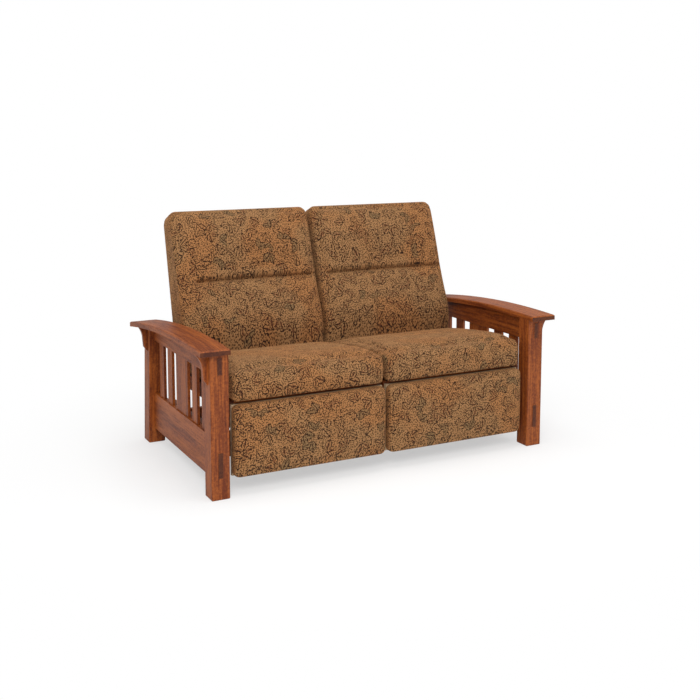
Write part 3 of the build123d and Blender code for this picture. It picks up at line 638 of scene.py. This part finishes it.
# Seat cushions. Each is a foam block in batting and cloth that falls towards the back, with
# a broad roll at the front, soft ends and a seam beside each end. It lies on the webbing of
# its frame and is held there by a strip of fastening.
cushion_slack = 0.0015
end_margin = 0.006
crown_room = 0.006
seat_room = 0.009
seat_held = 0.010
seat_swell = 0.014
seat_belly = 0.009
belly_rise, belly_height, belly_depth = 0.45, 0.040, 0.060
front_top_roll = (0.105, 0.075)
front_base_roll = (0.024, 0.028)
end_top_roll = (0.042, 0.046)
end_front_roll = (0.030, 0.040)
end_base_roll = (0.026, 0.030)
seat_fall = 0.055
seat_brow = 0.100
fall_curve = 1.15
seam_inset = 0.012
seam_thickness = 0.0013


def soft_rise(distance, spread):
    """1 in the middle, and softly down to nothing on both sides."""
    return np.exp(-(distance / spread) ** 2)


def sew_seams(cushion, body, lean):
    """Runs a seam's raised edge round a cushion just inside each end."""
    ends = points_of(cushion)[:, 0]
    for label, seam_x in (("near", ends.min() + seam_inset), ("far", ends.max() - seam_inset)):
        pick(cushion)
        bpy.ops.object.duplicate()
        bpy.context.object.name = f"{cushion.name}_{label}_seam"
        change_whole(bpy.ops.mesh.bisect, plane_co=(seam_x, 0, 0), plane_no=(1, 0, 0),
                     clear_inner=True, clear_outer=True)
        bpy.ops.object.convert(target="CURVE")
        bpy.context.object.data.bevel_depth = seam_thickness
        bpy.context.object.data.bevel_resolution = 1
        bpy.ops.object.convert(target="MESH")
        bpy.ops.object.shade_smooth()
        seam = bpy.context.object
        seam.data.materials.clear()
        seam.data.materials.append(upholstery)
        for old_layer in list(seam.data.uv_layers):
            seam.data.uv_layers.remove(old_layer)
        lay_cloth(seam, lean)
        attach(seam, body)


seat_low, seat_high = (np.array(corner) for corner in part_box("left_seat_cushion"))
seat_height = seat_high[2] - seat_low[2]
seat_cushion = soft_start("left_seat_cushion", "left_seat_cushion_cloth", cushion_slack)
seat_start = points_of(seat_cushion)
fill_out(seat_cushion, (seat_start[:, 2] < seat_low[2] + seat_held)
         | (seat_start[:, 1] > seat_high[1] - seat_held), seat_swell)
seat_points = points_of(seat_cushion)
for axis, low, high, margin in (
    (0, seat_low[0], seat_high[0], end_margin),
    (1, seat_low[1] - seat_room, seat_high[1], face_margin),
    (2, seat_low[2], seat_high[2] + crown_room, face_margin),
):
    seat_points[:, axis] = within(seat_points[:, axis], low, high, margin)
above_belly = seat_points[:, 2] - (seat_low[2] + belly_rise * seat_height)
behind_front = seat_points[:, 1] - seat_low[1]
seat_points[:, 1] -= (seat_belly * soft_rise(above_belly, belly_height)
                      * soft_rise(behind_front, belly_depth))
seat_front = face_of(seat_points, 1, -1)
seat_top = face_of(seat_points, 2, 1)
seat_base = face_of(seat_points, 2, -1)
seat_ends = [face_of(seat_points, 0, looks) for looks in (-1, 1)]
roll_edge(seat_points, seat_front, seat_top, front_top_roll)
roll_edge(seat_points, seat_front, seat_base, front_base_roll)
for seat_end in seat_ends:
    roll_edge(seat_points, seat_end, seat_top, end_top_roll)
    roll_edge(seat_points, seat_end, seat_front, end_front_roll)
    roll_edge(seat_points, seat_end, seat_base, end_base_roll)
fall_run = np.clip((seat_points[:, 1] - seat_low[1] - seat_brow)
                   / (seat_high[1] - seat_low[1] - seat_brow), 0, 1)
fall_share = np.clip((seat_points[:, 2] - seat_low[2]) / seat_height, 0, 1)
seat_points[:, 2] -= seat_fall * fall_run ** fall_curve * fall_share
set_points(seat_cushion, seat_points)
for side, cushion in (("left", seat_cushion),
                      ("right", mirrored(seat_cushion, "right_seat_cushion_cloth"))):
    refine(cushion)
    lay_cloth(cushion, lean=0)
    sew_seams(cushion, f"{side}_seat", lean=0)
    dress(cushion, f"{side}_seat", f"{side}_seat_cushion")

# Back cushions. Each is two full rolls of foam and fibre in one cover, with a sewn crease
# between them and a seam beside each end. Its board stands behind it on two brackets that
# lean back about the recline hinge.
face_lean = radians(19)
board_lean = radians(14.5)
board_slope = np.tan(board_lean)
back_held = 0.048
back_base_held = 0.010
back_swell = 0.010
lumbar_height = 0.565
lumbar_spread = 0.070
lumbar_fullness = 0.010
lumbar_rear, lumbar_ease = 0.060, 0.030
crease_height = 0.750
crease_depth = 0.017
crease_spread = 0.0048
crease_rear, crease_ease = 0.075, 0.008
crease_near_ease, crease_far_ease = 0.020, 0.030
roll_fullness, roll_rise, roll_spread = 0.007, 0.024, 0.017
dip_depth, dip_drop, dip_spread = 0.004, 0.016, 0.014
pinch_depth, pinch_inset, pinch_width, pinch_height = 0.010, 0.014, 0.012, 0.007
crease_ends = {"left": (-0.603, -0.008), "right": (0.049, 0.680)}
back_low, back_high = (np.array(corner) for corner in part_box("left_back_cushion"))
panel_low, panel_high = (np.array(corner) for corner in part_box("left_back_panel"))
rear_foot_y = panel_high[1] - (panel_high[2] - panel_low[2]) * board_slope


def depth_of(points):
    """How far points stand in front of the back's rear face, square to it."""
    rear_y = rear_foot_y + (points[:, 2] - back_low[2]) * board_slope
    return (rear_y - points[:, 1]) * cos(board_lean)


def press_crease(cushion, near, far):
    """Draws the sewn crease into the front, from one x to another, with the roll full above it
    and a pinch at its near end."""
    x, y, z = points_of(cushion).T
    ahead = rear_foot_y - y + (z - back_low[2]) * board_slope
    on_front = 1 / (1 + np.exp(-(ahead - crease_rear) / crease_ease))
    run = np.clip((x - near) / crease_near_ease, 0, 1) * np.clip((far - x) / crease_far_ease, 0, 1)
    above = z - crease_height
    valley = crease_depth * soft_rise(above, crease_spread) * run
    roll = roll_fullness * soft_rise(above - roll_rise, roll_spread) * run
    dip = dip_depth * soft_rise(above + dip_drop, dip_spread) * run
    pinch = pinch_depth * (soft_rise(x - near - pinch_inset, pinch_width)
                           * soft_rise(above, pinch_height))
    inward = (valley - roll + dip + pinch) * on_front
    set_points(cushion, np.stack([
        x, y + inward * cos(face_lean), z - inward * sin(face_lean),
    ], 1))


back_cushion = soft_start("left_back_cushion", "left_back_cushion_cloth", cushion_slack)
back_start = points_of(back_cushion)
fill_out(back_cushion, (depth_of(back_start) < back_held)
         | (back_start[:, 2] < back_low[2] + back_base_held), back_swell)
back_points = points_of(back_cushion)
for axis, low, high, margin in (
    (0, back_low[0], back_high[0], end_margin),
    (2, back_low[2], back_high[2] + crown_room, face_margin),
):
    back_points[:, axis] = within(back_points[:, axis], low, high, margin)
front_share = np.clip((depth_of(back_points) - lumbar_rear) / lumbar_ease, 0, 1)
back_points[:, 1] -= (lumbar_fullness * front_share
                      * soft_rise(back_points[:, 2] - lumbar_height, lumbar_spread))
set_points(back_cushion, back_points)
for side, cushion in (("left", back_cushion),
                      ("right", mirrored(back_cushion, "right_back_cushion_cloth"))):
    refine(cushion)
    press_crease(cushion, *crease_ends[side])
    lay_cloth(cushion, face_lean)
    sew_seams(cushion, f"{side}_back", face_lean)
    dress(cushion, f"{side}_back", f"{side}_back_cushion")

# Outside back panels. Each is a thin board wrapped in the same cloth and pushed onto clips
# behind the back board, with its edges rolled round.
panel_thickness = 0.006
panel_roll = 0.0025
panel_clearance = 0.003
panel_length = (panel_high[2] - panel_low[2]) / cos(board_lean) - panel_clearance
panel_centre = (
    (panel_low[0] + panel_high[0]) / 2,
    (rear_foot_y + panel_high[1]) / 2 - panel_thickness / 2 * cos(board_lean),
    (panel_low[2] + panel_high[2]) / 2 + panel_thickness / 2 * sin(board_lean),
)
bpy.ops.object.select_all(action="DESELECT")
bpy.ops.mesh.primitive_cube_add(size=1, location=panel_centre, rotation=(-board_lean, 0, 0))
back_panel = bpy.context.object
back_panel.name = "left_back_panel_cloth"
back_panel.scale = (panel_high[0] - panel_low[0], panel_thickness, panel_length)
bpy.ops.object.transform_apply(location=True, rotation=True, scale=True)
change_whole(bpy.ops.mesh.bevel, offset=panel_roll, segments=3, affect="EDGES")
bpy.ops.object.shade_smooth_by_angle(angle=radians(35))
for side, panel in (("left", back_panel),
                    ("right", mirrored(back_panel, "right_back_panel_cloth"))):
    lay_cloth(panel, board_lean)
    panel.data.materials.append(upholstery)
    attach(panel, f"{side}_back")
    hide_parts(f"{side}_back_panel")

# Studio: a plain pale floor that keeps the shadow and turns white towards its edge, soft
# lamps above, and the camera where the photograph was taken from.
white = (1, 1, 1, 1)
floor_pale = (0.90, 0.90, 0.895, 1)
floor_width = 60
white_start, white_end = 0.6, 1.8
room_light = 0.6
bpy.ops.object.select_all(action="DESELECT")
bpy.ops.mesh.primitive_plane_add(size=floor_width, location=(0, 0, 0))
floor = bpy.context.object
floor.name = "floor"
floor_finish, flooring, floor_shader = new_finish("pale floor")
flooring.fill(floor_shader, {"Base Color": floor_pale, "Roughness": 0.9})
whitening = flooring.fade(flooring.measure("LENGTH", flooring.here()), white_start, white_end,
                          0.5, 1.0)
seen = flooring.place("ShaderNodeLightPath").outputs["Is Camera Ray"]
bright = flooring.place("ShaderNodeEmission", {"Color": white, "Strength": 1.0})
floor_mix = flooring.place("ShaderNodeMixShader", {
    0: flooring.maths("MULTIPLY", whitening, seen), 1: floor_shader.outputs[0],
    2: bright.outputs[0],
})
flooring.fill(floor_finish.node_tree.nodes["Material Output"], {"Surface": floor_mix.outputs[0]})
floor.data.materials.append(floor_finish)

world = bpy.data.worlds.new("studio")
bpy.context.scene.world = world
world.use_nodes = True
surroundings = Recipe(world.node_tree)
room = world.node_tree.nodes["Background"]
surroundings.fill(room, {"Color": white, "Strength": room_light})
backdrop = surroundings.place("ShaderNodeBackground", {"Color": white, "Strength": 1.0})
world_mix = surroundings.place("ShaderNodeMixShader", {
    0: surroundings.place("ShaderNodeLightPath").outputs["Is Camera Ray"],
    1: room.outputs[0], 2: backdrop.outputs[0],
})
surroundings.fill(world.node_tree.nodes["World Output"], {"Surface": world_mix.outputs[0]})

for lamp_name, lamp_place, lamp_turn, lamp_size, lamp_power in (
    ("key", (-2.4, -4.2, 3.6), (radians(53), 0, radians(-30)), 2.2, 140),
    ("fill", (3.4, -3.4, 2.6), (radians(60), 0, radians(45)), 3.0, 34),
    ("top", (0.0, -0.3, 4.6), (0, 0, 0), 2.6, 74),
):
    lamp = bpy.data.lights.new(lamp_name, "AREA")
    lamp.size = lamp_size
    lamp.energy = lamp_power
    lamp_stand = bpy.data.objects.new(lamp_name, lamp)
    lamp_stand.location = lamp_place
    lamp_stand.rotation_euler = lamp_turn
    bpy.context.scene.collection.objects.link(lamp_stand)

lens = bpy.data.cameras.new("camera")
lens.lens = 52.99
lens.sensor_width = 36
lens.shift_x = 0.0108
lens.shift_y = -0.15
camera = bpy.data.objects.new("camera", lens)
camera.location = (-2.0900, -4.0872, 1.4503)
camera.rotation_euler = (radians(83.24), 0, radians(-27.211))
bpy.context.scene.collection.objects.link(camera)
bpy.context.scene.camera = camera
bpy.context.scene.view_settings.view_transform = "Standard"
